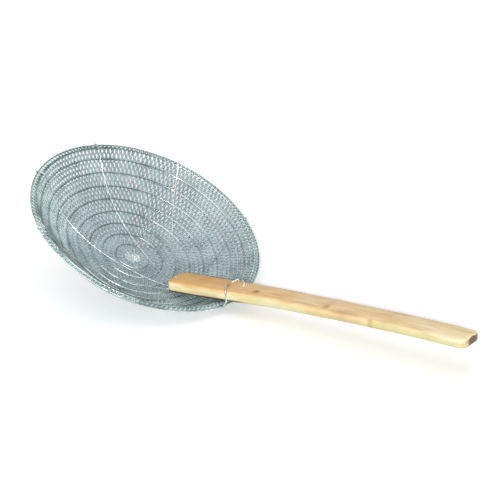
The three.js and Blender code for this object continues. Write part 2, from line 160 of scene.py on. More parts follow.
# Handle
HANDLE_LENGTH = 420 * MM
NOSE_WIDTH = 38.6 * MM
TIP_WIDTH = 38.4 * MM
NOSE_THICKNESS = 15.2 * MM
TIP_THICKNESS = 11.2 * MM
TAPER_START = 54 * MM
TAPER_END = 246 * MM
HANDLE_ARCH = 5.5 * MM
HANDLE_EDGE = 3.6 * MM
HANDLE_CROWN = 1.0 * MM
NOSE_CORNER = 8 * MM
TIP_CORNER = 11 * MM
TIP_FAR_CORNER = 8 * MM
END_CHAMFER = 1.2 * MM
NODE_PLACE = 235 * MM
NODE_LENGTH = 16 * MM
NODE_SWELL = 0.7 * MM
HANDLE_STEPS = 160
END_SECTIONS = (0, 0.02, 0.06, 0.12, 0.2, 0.32, 0.46, 0.62, 0.8)  # shares of the tip's corner
EDGE_STEPS = 4  # of each rounded edge
FACE_STEPS = (12, 5, 12, 5)  # of the top, the near side, the underside and the far side
# Waves of the sides, and of the rind's lower edge: length over 2 pi, start and height
HANDLE_WAVES = ((31 * MM, 0.0, 0.22 * MM), (17 * MM, 2.0, 0.132 * MM))
RIND_WAVES = ((12.5 * MM, 1.0, 0.7 * MM), (7.1 * MM, 0.0, 0.7 * MM))
WAVER_UP = 0.4  # share of the sides' waves that the top and the underside have
RIND_LOW = 245 * MM  # where the rind of the top reaches furthest down the sides
RIND_LOW_LENGTH = 50 * MM
RIND_LOW_DROP = 4 * MM
TOP_RIND = 2.5 * MM  # how much deeper the rind is on the flat of the top
FLAT_TOP = (0.6, 1.0)  # upward lean of the surface from an edge of the top to its flat

# Ties
TIE_START = math.pi / 2 + 0.01  # a tie's way up round the outer hoop, from just past its underside
TIE_STEP = math.radians(30)
TIE_STEPS = 6
TIE_END = 10 * MM
TIE_CURL = (18 * MM, 22 * MM)  # how far the far tie's end runs along and across the handle
TIE_TOP = -5 * MM  # where the near tie ends on the top of the handle
NEAR_TIE_SHIFT = 4 * MM  # how far towards the tip the near tie crosses the edge of the handle
TIE_HOOK = 13 * MM  # how far the far tie reaches over the edge of the handle
NOSE_TIE_REACH = 9 * MM
BEND_RADIUS = 2.2 * MM
BEND_STEPS = 5
BEND_SHARE = 0.45  # the most that a bend takes of a straight stretch
# Painted highlights on the ties, where the light catches their bends: the near tie's and the others'
NEAR_TIE_HIGHLIGHT = 0.4
TIE_HIGHLIGHT = 1.0

# Camera, from a fit of the solids to the photograph
CAMERA_AZIMUTH = 36.16
CAMERA_ELEVATION = 22.42
CAMERA_DISTANCE = 2.0
CAMERA_AIM = Vector((158.83, 0, 3.15)) * MM  # from the middle of the rim
CAMERA_LENS = 120.44
CAMERA_SENSOR = 36

# Stage. A lamp's values are its energy, its apparent size, and its azimuth and elevation in degrees.
FLASH = (2.9, 3.6, 34.8, 23)
CEILING = (0.55, 40, 20, 65)
LAMP_DISTANCE = 3.0
FLOOR_REACH = 4.0
FLOOR_COLOUR = (0.95, 0.95, 0.95, 1)
FLOOR_ROUGHNESS = 0.9
FLOOR_GLOW = 0.18
WHITE = (1, 1, 1, 1)
WORLD_LIGHT = 0.42
WORLD_SEEN = 1.0

SEED = 5


def srgb(red, green, blue):
    """A colour as it shows on a screen, 0 to 255, as the linear colour of a shader."""
    values = np.array([red, green, blue]) / 255
    linear = np.where(values <= 0.04045, values / 12.92, ((values + 0.055) / 1.055) ** 2.4)
    return (*linear, 1.0)


# Ranges of a noise, most of whose values lie between 0.3 and 0.7
WIDE = (0.3, 0.7)
MIDDLE = (0.35, 0.65)

# Zinc
PATCH_SCALE = 40.0
EYE_PATCH_SCALE = 220.0
PATCH_DETAIL = 4.0
PATCH_RANGE = (0.36, 0.64)
LIT_RANGE = (0.35, 0.6)
LIT_SHARES = (0.4, 1.2)  # how much of the painted light shows in the dullest and in the brightest patches
GRAIN_SCALE = 700.0
GRAIN_DETAIL = 2.0
GRAIN_DEPTH = 0.2 * MM
SMOOTHER = 0.1
ROUGHER = 0.12

# Bamboo
TOP_LIGHT = (srgb(228, 184, 118), srgb(249, 241, 209))  # at the nose and at the tip
TOP_DARK = (srgb(206, 152, 80), srgb(248, 226, 176))
TOP_AGE = (50 * MM, HANDLE_LENGTH)  # where the one turns into the other
SIDE_WOOD = (srgb(194, 186, 126), srgb(210, 210, 171))
# Painted light: the sides are paler near the nose, inside the bowl, where its wires shade the handle
NOSE_SIDE_LIT = srgb(250, 242, 192)
NOSE_SIDE_LIT_END = (30 * MM, 120 * MM)
CLOUD_STRETCH = 2.5
CLOUD_SCALE = 40.0
RIND_RAGGED = (-2.5 * MM, 2.5 * MM)
RIND_BLEND = (-2.2 * MM, 2.2 * MM)
# Grain: how far it is drawn out along the fibres, the scale, detail and range of its noise, and its
# strength and colour
BAMBOO_GRAIN = {
    "streaks": (14.0, 150.0, 4.0, (0.5, 0.72), 0.45, srgb(196, 146, 88)),
    "stains": (3.0, 110.0, 3.0, (0.5, 0.68), 0.36, srgb(194, 142, 82)),
    "fibres": (60.0, 900.0, 3.0, (0.35, 0.7), 0.25, srgb(200, 156, 98)),
}
BAMBOO_ROUGHNESS = (0.42, 0.62)
FIBRE_DEPTH = 0.15 * MM
FIBRE_STRENGTH = 0.6
# Brown marks and the near tie's painted shadow: millimetres along and across the handle, half length,
# half width and strength
MARKS_AND_TIE_SHADOW = (
    (131, -7, 6, 6, 0.9),
    (234, -10, 6, 9, 0.5),
    (262, -17, 26, 9, 0.3),
    (299, -18, 5, 3, 0.4),
    (206, -12, 26, 3, 0.35),
    # Painted shadow of the near tie, beside it on the top and down over the near edge
    (84.5, -2, 3, 4, 0.9),
    (88, -6.5, 3, 4, 0.7),
    (91.5, -11, 2.5, 4, 0.5),
)
MARK_BROWN = srgb(128, 84, 40)
MARK_EDGE = (0.2, 1.0)
# Painted shadow on the lower edge up to the rim, where the handle lies on the net: how high and how far
# along it fades
PAINTED_SHADOW_BLACK = srgb(46, 42, 30)
PAINTED_SHADOW_TOP = (2.8 * MM, 3.8 * MM)
PAINTED_SHADOW_END = (104 * MM, 125 * MM)
PAINTED_SHADOW_STRENGTH = 0.9
# Brown wood of the cut at the tip, below the rind
CUT_BROWN = srgb(104, 86, 68)
CUT_ALONG = (HANDLE_LENGTH - 8 * MM, HANDLE_LENGTH - 3 * MM)
CUT_ACROSS = (-10 * MM, -4 * MM)
CUT_TOP = (TIP_THICKNESS - 4 * MM, TIP_THICKNESS - 2 * MM)
CUT_STRENGTH = 0.85

# End of the handle
END_WOOD = (srgb(70, 56, 42), srgb(118, 98, 76))
END_CELLS = 900.0
END_CELL_RANGE = (0.1, 0.5)
END_STAIN = srgb(96, 76, 56)
END_STAIN_SCALE = 120.0
END_STAIN_RANGE = (0.4, 0.65)
END_STAIN_STRENGTH = 0.7
END_PALE = srgb(216, 186, 128)
END_PALE_STRENGTH = 0.85
END_ROUGHNESS = 0.8


# Frames of the bowl and the handle

def box_centre(name):
    low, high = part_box(name)
    return (low + high) / 2


bowl_origin = (box_centre("inner_hoop") + box_centre("outer_hoop")) / 2
bowl_matrix = Matrix.Translation(bowl_origin) @ Matrix.Rotation(TILT, 4, "Y")

mount = next(m for m in frame["record"]["mounts"] if m["name"] == "handle_end")
handle_x = Vector(mount["axis"]).normalized()
handle_z = handle_x.cross(Vector((0, 1, 0))).normalized()
handle_nose = Vector(mount["pos_m"]) - handle_x * HANDLE_LENGTH - handle_z * TIP_THICKNESS / 2
handle_matrix = Matrix((handle_x, (0, 1, 0), handle_z)).transposed().to_4x4()
handle_matrix.translation = handle_nose
handle_in_bowl = bowl_matrix.inverted() @ handle_matrix


def eased_step(value, low, high):
    share = np.clip((value - low) / (high - low), 0, 1)
    return share**2 * (3 - 2 * share)


def fade_in(angle, middle, margin):
    """0 to 1 from a margin before the middle to a margin after it."""
    return eased_step(angle, middle - margin, middle + margin)


def moved(matrix, points):
    turn = np.array(matrix.to_3x3())
    return np.asarray(points) @ turn.T + np.array(matrix.translation)


def circle(steps, more=0):
    """Angles of equal steps once round, and more steps past the start."""
    return 2 * np.pi * np.arange(steps + more) / steps


def winding(turns, steps):
    """Turns made so far and angle round the bowl, along a wire that winds its way once round."""
    return np.arange(turns * steps + 1) / steps, circle(turns * steps, 1)


# Wall of the bowl, in the bowl's frame

def wall_height(radius):
    return -BOWL_DEPTH * (1 - (radius / EDGE_RADIUS) ** BOWL_POWER)


def wall_lean(radius):
    slope = BOWL_POWER * BOWL_DEPTH / EDGE_RADIUS
    return np.arctan(slope * (radius / EDGE_RADIUS) ** (BOWL_POWER - 1))


def turned(reach, angle, rise):
    return np.stack(np.broadcast_arrays(reach * np.cos(angle), reach * np.sin(angle), rise), -1)


def over_wall(radius, angle, height):
    lean = wall_lean(radius)
    return turned(radius - height * np.sin(lean), angle, wall_height(radius) + height * np.cos(lean))


def round_rim(angle, turn, layer):
    """Points of a winding round both hoops, layer away from the hoops' middles."""
    lean = wall_lean(EDGE_RADIUS)
    across = HOOP_HEIGHT * np.sign(np.cos(turn)) + layer * np.cos(turn)
    down = layer * np.sin(turn) + HOOP_DROP * (np.cos(turn) > 0)
    reach = EDGE_RADIUS - across * np.sin(lean) - down * np.cos(lean)
    return turned(reach, angle, across * np.cos(lean) - down * np.sin(lean))


def layer_of(name):
    """Height over the wall of a CAD wire's middle."""
    co = np.array([v.co for v in frame["nodes"][name].data.vertices])
    points = moved(bowl_matrix.inverted(), co)
    radius = np.hypot(points[:, 0], points[:, 1])
    height = (points[:, 2] - wall_height(radius)) * np.cos(wall_lean(radius))
    return float(np.median(height))


ring_height = layer_of("ring_4")
rib_height = layer_of("rib_4")

# Lengths down the wall from its edge, and the radii where they are reached
wall_radii = np.linspace(EDGE_RADIUS, 0, WALL_STEPS + 1)
wall_steps = np.diff(wall_radii) / -np.cos(wall_lean((wall_radii[1:] + wall_radii[:-1]) / 2))
wall_lengths = np.concatenate([[0], np.cumsum(wall_steps)])


def radius_at(length):
    return np.interp(length, wall_lengths, wall_radii)


def length_at(radius):
    return np.interp(EDGE_RADIUS - radius, EDGE_RADIUS - wall_radii, wall_lengths)


# Meshes

def tube_faces(rings, sides, closed=False):
    """Faces from each ring of corners to the next, and over the two ends of an open tube."""
    ring = np.arange(rings if closed else rings - 1)[:, None]
    start = ring * sides
    ahead = (ring + 1) % rings * sides
    side = np.arange(sides)[None, :]
    after = (side + 1) % sides
    quads = np.stack([start + side, start + after, ahead + after, ahead + side], -1)
    faces = quads.reshape(-1, 4).tolist()
    if not closed:
        faces.append(list(range(sides))[::-1])
        faces.append(list(range((rings - 1) * sides, rings * sides)))
    return faces


def tube_corners(points, radius, sides, first, second):
    """Corners of a round wire, from two directions across it at each point."""
    turns = circle(sides)
    ring = np.cos(turns)[None, :, None] * first[:, None] + np.sin(turns)[None, :, None] * second[:, None]
    return (points[:, None] + radius * ring).reshape(-1, 3)


def sweep(points, radius, sides):
    """Corners and faces of one round wire along points."""
    tangents = np.gradient(points, axis=0)
    tangents /= np.linalg.norm(tangents, axis=1, keepdims=True)
    across = np.empty_like(points)
    guess = np.eye(3)[np.argmin(np.abs(tangents[0]))]
    for i, tangent in enumerate(tangents):
        guess = guess - tangent * guess.dot(tangent)
        guess = guess / math.sqrt(guess.dot(guess))
        across[i] = guess
    corners = tube_corners(points, radius, sides, across, np.cross(tangents, across))
    return corners, tube_faces(len(points), sides)


def ring_sweep(points, radius, sides):
    """Corners and faces of one closed ring of round wire."""
    tangents = np.roll(points, -1, axis=0) - np.roll(points, 1, axis=0)
    tangents /= np.linalg.norm(tangents, axis=1, keepdims=True)
    axis = np.cross(points[0] - points.mean(0), tangents[0])
    axis = np.broadcast_to(axis / np.linalg.norm(axis), points.shape)
    corners = tube_corners(points, radius, sides, axis, np.cross(tangents, axis))
    return corners, tube_faces(len(points), sides, closed=True)


def joined(parts):
    corners, faces, start = [], [], 0
    for part_corners, part_faces in parts:
        corners.append(part_corners)
        faces.extend([[start + i for i in face] for face in part_faces])
        start += len(part_corners)
    return np.concatenate(corners), faces


def mesh_of(name, corners, faces):
    mesh = bpy.data.meshes.new(name)
    mesh.from_pydata(corners.tolist(), [], faces)
    mesh.polygons.foreach_set("use_smooth", [True] * len(mesh.polygons))
    mesh.update()
    return mesh


def set_values(mesh, name, values):
    layer = mesh.attributes.new(name, "FLOAT", "POINT")
    layer.data.foreach_set("value", np.ascontiguousarray(values, dtype=np.float32).ravel())


def set_painted_light(mesh, painted_light, sides):
    """Painted light at each step along a wire, for all the corners round it."""
    set_values(mesh, "painted_light", np.repeat(painted_light, sides))


def piece(name, mesh, materials, slot, *nodes):
    obj = bpy.data.objects.new(name, mesh)
    bpy.context.scene.collection.objects.link(obj)
    for material in materials:
        mesh.materials.append(material)
    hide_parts(*nodes)
    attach(obj, "root")


def wires(name, lines, diameter, sides, material, slot, node_name):
    """One piece of one or more wires, each along points in the bowl's frame, clear of the table."""
    parts = []
    for line in lines:
        points = moved(bowl_matrix, line)
        points[:, 2] = np.maximum(points[:, 2], diameter / 2)
        parts.append(sweep(points, diameter / 2, sides))
    mesh = mesh_of(name, *joined(parts))
    piece(name, mesh, [material], slot, node_name)
    return mesh


def closed_wire(name, line, diameter, sides, material, slot, node_name):
    """One piece of one wire that is closed to a ring."""
    mesh = mesh_of(name, *ring_sweep(moved(bowl_matrix, line), diameter / 2, sides))
    piece(name, mesh, [material], slot, node_name)
    return mesh


# Shader nodes

def tree_of(name):
    material = bpy.data.materials.new(name)
    material.use_nodes = True
    tree = material.node_tree
    return material, tree, tree.nodes["Principled BSDF"]


def feed(tree, made, **inputs):
    """Set inputs of a node, each by a link or to a plain value. i0 is its first input."""
    for key, value in inputs.items():
        index = int(key[1:]) if key[0] == "i" and key[1:].isdigit() else key.replace("_", " ")
        socket = made.inputs[index]
        if isinstance(value, bpy.types.NodeSocket):
            tree.links.new(value, socket)
        else:
            socket.default_value = value


def node(tree, kind, settings=None, **inputs):
    made = tree.nodes.new(kind)
    for key, value in (settings or {}).items():
        setattr(made, key, value)
    feed(tree, made, **inputs)
    return made


def value_of(tree, name):
    return node(tree, "ShaderNodeAttribute", {"attribute_name": name}).outputs["Fac"]


def noise(tree, vector, scale, detail=3.0, roughness=0.55):
    made = node(
        tree, "ShaderNodeTexNoise", Vector=vector, Scale=scale, Detail=detail, Roughness=roughness,
    )
    return made.outputs["Fac"]


def spread(tree, value, source, target=(0.0, 1.0)):
    """A value brought from one range to another, and kept within it."""
    made = node(
        tree, "ShaderNodeMapRange", Value=value,
        From_Min=source[0], From_Max=source[1], To_Min=target[0], To_Max=target[1],
    )
    return made.outputs["Result"]


def mixed(tree, share, first, second, blend="MIX"):
    settings = {"data_type": "RGBA", "blend_type": blend}
    return node(tree, "ShaderNodeMix", settings, i0=share, i6=first, i7=second).outputs[2]


def maths(tree, operation, first, *others):
    """An operation on the first value and the second, then on that and the third, and so on."""
    for other in others:
        first = node(tree, "ShaderNodeMath", {"operation": operation}, i0=first, i1=other).outputs[0]
    return first


def vector_maths(tree, operation, **inputs):
    return node(tree, "ShaderNodeVectorMath", {"operation": operation}, **inputs).outputs


def bumped(tree, height, distance, strength=1.0):
    made = node(tree, "ShaderNodeBump", Height=height, Distance=distance, Strength=strength)
    return made.outputs["Normal"]


def wire_material(name, dark, light, lit_colour, roughness, metallic, speckled, patch_scale=PATCH_SCALE):
    """Zinc-coated wire: patches of dull and bright coating, a fine grain and, if a lit colour is given,
    painted light and highlights.
    """
    material, tree, shader = tree_of(name)
    place = node(tree, "ShaderNodeTexCoord").outputs["Object"]
    patches = noise(tree, place, patch_scale, PATCH_DETAIL)
    grain = noise(tree, place, GRAIN_SCALE, GRAIN_DETAIL)
    colour = mixed(tree, spread(tree, patches, PATCH_RANGE), dark, light)
    # Painted light and highlights: the lit colour is mixed in as far as the wire's attribute says
    if lit_colour:
        lit_share = spread(tree, patches, LIT_RANGE, LIT_SHARES)
        colour = mixed(tree, maths(tree, "MULTIPLY", value_of(tree, "painted_light"), lit_share), colour, lit_colour)
    speckle = spread(tree, grain, MIDDLE, (1 - speckled, 1 + speckled))
    feed(
        tree, shader,
        Base_Color=mixed(tree, 1.0, colour, speckle, "MULTIPLY"),
        Roughness=spread(tree, grain, WIDE, (roughness - SMOOTHER, roughness + ROUGHER)),
        Normal=bumped(tree, grain, GRAIN_DEPTH * speckled),
        Metallic=metallic,
    )
    return material


# The third colour of each wire is the colour of its painted light and highlights.
net_wire = wire_material(
    "net_wire", dark=srgb(132, 150, 152), light=srgb(158, 176, 178), lit_colour=srgb(196, 214, 213),
    roughness=0.6, metallic=0.3, speckled=0.1,
)
ring_wire = wire_material(
    "ring_wire", dark=srgb(100, 118, 117), light=srgb(124, 142, 140), lit_colour=srgb(232, 238, 236),
    roughness=0.25, metallic=0.8, speckled=0.05,
)
hoop_wire = wire_material(
    "hoop_wire", dark=srgb(74, 104, 99), light=srgb(122, 151, 146), lit_colour=srgb(226, 240, 237),
    roughness=0.25, metallic=0.9, speckled=0.1,
)
bright_wire = wire_material(
    "bright_wire", dark=srgb(150, 174, 172), light=srgb(246, 253, 251), lit_colour=None,
    roughness=0.3, metallic=0.6, speckled=0.08, patch_scale=EYE_PATCH_SCALE,
)
rib_wire = wire_material(
    "rib_wire", dark=srgb(136, 154, 154), light=srgb(160, 177, 176), lit_colour=srgb(246, 250, 249),
    roughness=0.3, metallic=0.6, speckled=0.08,
)

# Net

rng = np.random.default_rng(SEED)


def rounded_zigzag(phase):
    turn = 2 * np.pi * phase
    return (np.sin(turn) - np.sin(3 * turn) / 9 + np.sin(5 * turn) / 25) / ZIGZAG_PEAK


def net_row(middle, swing, count, shift):
    """One closed row of loops round the bowl, at a length down the wall."""
    phase, angle = winding(count, LOOP_STEPS)
    sway = rng.normal(0, LOOP_JITTER, count + 1)
    reach = rng.normal(1, LOOP_JITTER, count + 1)
    sway[-1], reach[-1] = sway[0], reach[0]
    place = phase + shift + np.interp(phase, np.arange(count + 1), sway)
    swings = swing * np.interp(phase, np.arange(count + 1), reach)
    radius = radius_at(np.maximum(middle + swings * rounded_zigzag(place), 0))
    return over_wall(radius, angle, LOOP_LIFT * np.cos(2 * np.pi * place))


def net_lines():
    """Rows of loops between the rings, each loop hooked through the ones of the next row."""
    lines = []
    for zone in range(RING_COUNT + 1):
        first = zone * RING_SPACING
        last = min(first + RING_SPACING, length_at(EYE_RADIUS))
        rows = round((last - first) / (RING_SPACING / ROWS_PER_RING))
        step = (last - first) / rows
        count = round(2 * np.pi * radius_at((first + last) / 2) / LOOP_PITCH)
        for row in range(rows):
            lines.append(net_row(first + (row + 0.5) * step, step / 2 + LOOP_HOOK, count, row / 2))
    return lines


def net_painted_light(points):
    """Painted light on the net: lighter on the near wall, towards the rim, where it lies in shade."""
    points = moved(bowl_matrix.inverted(), points)
    angle = np.degrees(np.arctan2(points[:, 1], points[:, 0])) % 360
    first, last = NET_LIT
    lit_share = fade_in(angle, first, NET_FADE) * (1 - fade_in(angle, last, NET_FADE))
    share = np.hypot(points[:, 0], points[:, 1]) / EDGE_RADIUS
    return NET_PAINTED_LIGHT * lit_share * eased_step(share, *NET_LIT_REACH)


netting = wires("netting", net_lines(), NET_DIAMETER, NET_SIDES, net_wire, "net_wire", "net")
# Painted light on the near wall of the net
set_values(netting, "painted_light", net_painted_light([corner.co for corner in netting.vertices]))


def eye_lines():
    """The eye's loops, the wire wound round its ring, the ring itself and the ring round its hole."""
    phase, angle = winding(EYE_LOOPS, LOOP_STEPS)
    radius = (EYE_RADIUS + EYE_HOLE) / 2 + (EYE_RADIUS - EYE_HOLE) / 2 * rounded_zigzag(phase)
    loops = over_wall(radius, angle, EYE_LOOP_HEIGHT + EYE_LOOP_LIFT * np.cos(2 * np.pi * phase))
    wrap, angle = winding(EYE_WRAPS, EYE_WRAP_STEPS)
    radius = EYE_RADIUS + EYE_COIL * np.cos(2 * np.pi * wrap)
    height = ring_height * EYE_LAYER
    wound = over_wall(radius, angle, height + EYE_COIL * np.sin(2 * np.pi * wrap))
    angle = circle(EYE_STEPS, 1)
    ring = over_wall(np.full(len(angle), EYE_RADIUS), angle, height)
    hole = over_wall(np.full(len(angle), EYE_HOLE), angle, EYE_HOLE_HEIGHT)
    return [loops, wound, ring, hole]


wires("eye", eye_lines(), EYE_DIAMETER, NET_SIDES, bright_wire, "bright_wire", "eye_ring")

# Rings

def ring_highlight(number, degrees):
    """Painted highlight of a ring at each step round it: none in one stretch, brightest in its arcs."""
    dull_from, dull_to = DULL_STRETCH
    fade_out, fade_back = DULL_FADES
    painted_light = RING_HIGHLIGHT * (1 - fade_in(degrees, dull_from, fade_out) + fade_in(degrees, dull_to, fade_back))
    for middle, half, rings in HIGHLIGHT_ARCS:
        if number in rings:
            away_from = np.abs(degrees - middle - ARC_SHIFT * math.sin(3 * number))
            painted_light = painted_light + ARC_HIGHLIGHT * (1 - fade_in(away_from, half, ARC_FADE))
    return painted_light


def wire_ring(number):
    angle = circle(RING_STEPS)
    first, second = RING_WAVES
    waver = RING_WAVER * (np.sin(first * angle + number) + np.sin(second * angle + 2 * number)) / 2
    line = over_wall(radius_at(number * RING_SPACING + waver), angle, ring_height)
    mesh = closed_wire(
        f"wire_ring_{number}", line, RING_DIAMETER, RING_SIDES, ring_wire, "ring_wire", f"ring_{number}",
    )
    set_painted_light(mesh, ring_highlight(number, np.degrees(angle)), RING_SIDES)


for ring_number in range(1, RING_COUNT + 1):
    wire_ring(ring_number)

# Rim

# Painted highlight of the rim's wires at each angle round it
def rim_highlight(angle, painted_light):
    return np.interp(np.degrees(angle), RIM_HIGHLIGHT_ANGLES, painted_light)


def hoop(name, height, drop, painted_light, node_name):
    angle = circle(HOOP_STEPS)
    line = over_wall(np.full(HOOP_STEPS, radius_at(drop)), angle, height)
    mesh = closed_wire(name, line, HOOP_DIAMETER, HOOP_SIDES, hoop_wire, "hoop_wire", node_name)
    set_painted_light(mesh, rim_highlight(angle, painted_light), HOOP_SIDES)


def binding():
    """The loops of the net's edge, wound round both hoops."""
    wrap, angle = winding(RIM_WRAPS, WRAP_STEPS)
    line = round_rim(angle, 2 * np.pi * (wrap + WRAP_START), HOOP_DIAMETER / 2 + WRAP_DIAMETER / 4)
    mesh = wires("rim_binding", [line], WRAP_DIAMETER, WRAP_SIDES, hoop_wire, "net_wire", "rim_lashing")
    set_painted_light(mesh, rim_highlight(angle, RIM_HIGHLIGHT), WRAP_SIDES)


hoop("hoop_outside", -HOOP_HEIGHT, 0.0, RIM_HIGHLIGHT, "outer_hoop")
hoop("hoop_inside", HOOP_HEIGHT, HOOP_DROP, INNER_HOOP_HIGHLIGHT, "inner_hoop")
binding()

# Handle, in its own frame: X from nose to tip, Y across, Z up from the ends of its underside

def underside(along):
    share = along / HANDLE_LENGTH
    eased = np.sin(np.pi * share) ** 2
    return HANDLE_ARCH * np.where(share < 0.5, eased, 4 * share * (1 - share))


def node_swell(along):
    return NODE_SWELL * np.exp(-((2 * (along - NODE_PLACE) / NODE_LENGTH) ** 2))


def handle_thickness(along):
    taper = eased_step(along, TAPER_START, TAPER_END)
    return NOSE_THICKNESS + (TIP_THICKNESS - NOSE_THICKNESS) * taper + node_swell(along)


def handle_width(along):
    share = along / HANDLE_LENGTH
    return NOSE_WIDTH + (TIP_WIDTH - NOSE_WIDTH) * share + node_swell(along)


def on_handle(along, across, height):
    """A point on the handle, in the bowl's frame."""
    return moved(handle_in_bowl, [along, across, underside(along) + height])


def waves(along, terms):
    return sum(height * np.sin(along / length + start) for length, start, height in terms)


def rounding(distance, radius):
    """How far a rounded corner draws in, at a distance from the end."""
    left = np.clip(radius - distance, 0, radius)
    return radius - np.sqrt(radius**2 - left**2)


def slat_outline():
    """The section as shares: place across, place up, and the direction of the rounded edge."""
    corners = ((1, 1, 0), (-1, 1, 90), (-1, 0, 180), (1, 0, 270))
    outline = []
    for index, (across, up, start) in enumerate(corners):
        for step in range(EDGE_STEPS + 1):
            turn = math.radians(start + 90 * step / EDGE_STEPS)
            outline.append((across, up, math.cos(turn), math.sin(turn)))
        next_across, next_up, _ = corners[(index + 1) % len(corners)]
        for step in range(1, FACE_STEPS[index]):
            share = step / FACE_STEPS[index]
            place = (across + (next_across - across) * share, up + (next_up - up) * share)
            outline.append((*place, math.cos(turn), math.sin(turn)))
    return np.array(outline)


def rind_height(along):
    """Height on the sides where the rind of the top gives way to the paler wood."""
    edge = handle_thickness(along) - HANDLE_CROWN - HANDLE_EDGE / 4
    lower = RIND_LOW_DROP * np.exp(-(((along - RIND_LOW) / RIND_LOW_LENGTH) ** 2))
    return edge - lower + waves(along, RIND_WAVES)


def handle_mesh():
    inner = np.linspace(TIP_CORNER, HANDLE_LENGTH - TIP_CORNER, HANDLE_STEPS)
    ends = TIP_CORNER * np.array(END_SECTIONS)
    along = np.concatenate([ends, inner, (HANDLE_LENGTH - ends)[::-1]])[:, None]
    chamfer = rounding(np.minimum(along, HANDLE_LENGTH - along), END_CHAMFER)
    waver = waves(along, HANDLE_WAVES)
    across, up, edge_y, edge_z = slat_outline().T[:, None, :]
    near_corner = rounding(HANDLE_LENGTH - along, TIP_CORNER)
    far_corner = rounding(HANDLE_LENGTH - along, TIP_FAR_CORNER)
    corner = rounding(along, NOSE_CORNER) + np.where(across > 0, far_corner, near_corner)
    half = handle_width(along) / 2 - corner - chamfer - HANDLE_EDGE
    thick = handle_thickness(along) - HANDLE_CROWN - 2 * HANDLE_EDGE - 2 * chamfer
    y = across * half + HANDLE_EDGE * edge_y + waver * across
    crown = HANDLE_CROWN * up * (1 - across**2)
    rise = chamfer + HANDLE_EDGE + up * thick + HANDLE_EDGE * edge_z + crown - waver * WAVER_UP
    x = np.broadcast_to(along, y.shape)
    corners = np.stack([x, y, underside(along) + rise], -1).reshape(-1, 3)
    mesh = mesh_of("bamboo_handle", moved(handle_matrix, corners), tube_faces(*y.shape))
    rind = rise - rind_height(along) + TOP_RIND * eased_step(edge_z, *FLAT_TOP)
    for name, values in (("along", x), ("across", y), ("rise", rise), ("rind", rind)):
        set_values(mesh, name, values)
    for face in mesh.polygons[-2:]:
        face.material_index = 1
        face.use_smooth = False
    return mesh


def place_on_handle(tree, stretch):
    """Place on the handle as a vector, drawn out along the fibres by stretch."""
    along = maths(tree, "DIVIDE", value_of(tree, "along"), stretch)
    made = node(
        tree, "ShaderNodeCombineXYZ", X=along, Y=value_of(tree, "across"), Z=value_of(tree, "rise"),
    )
    return made.outputs["Vector"]


def mark_distance(tree, along, across, length, width):
    """Distance from a place on the handle in millimetres, 1 at an oval round it."""
    place = node(tree, "ShaderNodeCombineXYZ", X=value_of(tree, "along"), Y=value_of(tree, "across"))
    middle = (along * MM, across * MM, 0)
    offset = vector_maths(tree, "SUBTRACT", i0=place.outputs[0], i1=middle)[0]
    shares = vector_maths(tree, "DIVIDE", i0=offset, i1=(length * MM, width * MM, 1))[0]
    return vector_maths(tree, "LENGTH", i0=shares)["Value"]


def bamboo_material():
    material, tree, shader = tree_of("bamboo")
    along = value_of(tree, "along")
    across = value_of(tree, "across")
    rise = value_of(tree, "rise")
    clouds = noise(tree, place_on_handle(tree, CLOUD_STRETCH), CLOUD_SCALE)
    age = spread(tree, along, TOP_AGE)
    top_dark = mixed(tree, age, *TOP_DARK)
    top_light = mixed(tree, age, *TOP_LIGHT)
    top = mixed(tree, spread(tree, clouds, MIDDLE), top_dark, top_light)
    side = mixed(tree, spread(tree, clouds, WIDE), *SIDE_WOOD)
    # Painted light on the side near the nose, where the bowl shades it
    side = mixed(tree, spread(tree, along, NOSE_SIDE_LIT_END, (1.0, 0.0)), side, NOSE_SIDE_LIT)
    ragged = maths(tree, "ADD", value_of(tree, "rind"), spread(tree, clouds, WIDE, RIND_RAGGED))
    colour = mixed(tree, spread(tree, ragged, RIND_BLEND), side, top)
    grain = {}
    for name, (stretch, scale, detail, source, strength, tint) in BAMBOO_GRAIN.items():
        grain[name] = noise(tree, place_on_handle(tree, stretch), scale, detail)
        colour = mixed(tree, spread(tree, grain[name], source, (0.0, strength)), colour, tint)
    # Brown marks, and the near tie's painted shadow
    for *oval, strength in MARKS_AND_TIE_SHADOW:
        share = spread(tree, mark_distance(tree, *oval), MARK_EDGE, (strength, 0.0))
        colour = mixed(tree, share, colour, MARK_BROWN)
    # Painted shadow along the lower edge, where the handle lies on the net
    low = spread(tree, rise, PAINTED_SHADOW_TOP, (1.0, 0.0))
    at_rim = spread(tree, along, PAINTED_SHADOW_END, (PAINTED_SHADOW_STRENGTH, 0.0))
    colour = mixed(tree, maths(tree, "MULTIPLY", low, at_rim), colour, PAINTED_SHADOW_BLACK)
    at_tip = spread(tree, along, CUT_ALONG)
    far_part = spread(tree, across, CUT_ACROSS)
    below_top = spread(tree, rise, CUT_TOP, (CUT_STRENGTH, 0.0))
    colour = mixed(tree, maths(tree, "MULTIPLY", at_tip, far_part, below_top), colour, CUT_BROWN)
    feed(
        tree, shader,
        Base_Color=colour,
        Roughness=spread(tree, grain["streaks"], WIDE, BAMBOO_ROUGHNESS),
        Normal=bumped(tree, grain["fibres"], FIBRE_DEPTH, FIBRE_STRENGTH),
    )
    return material


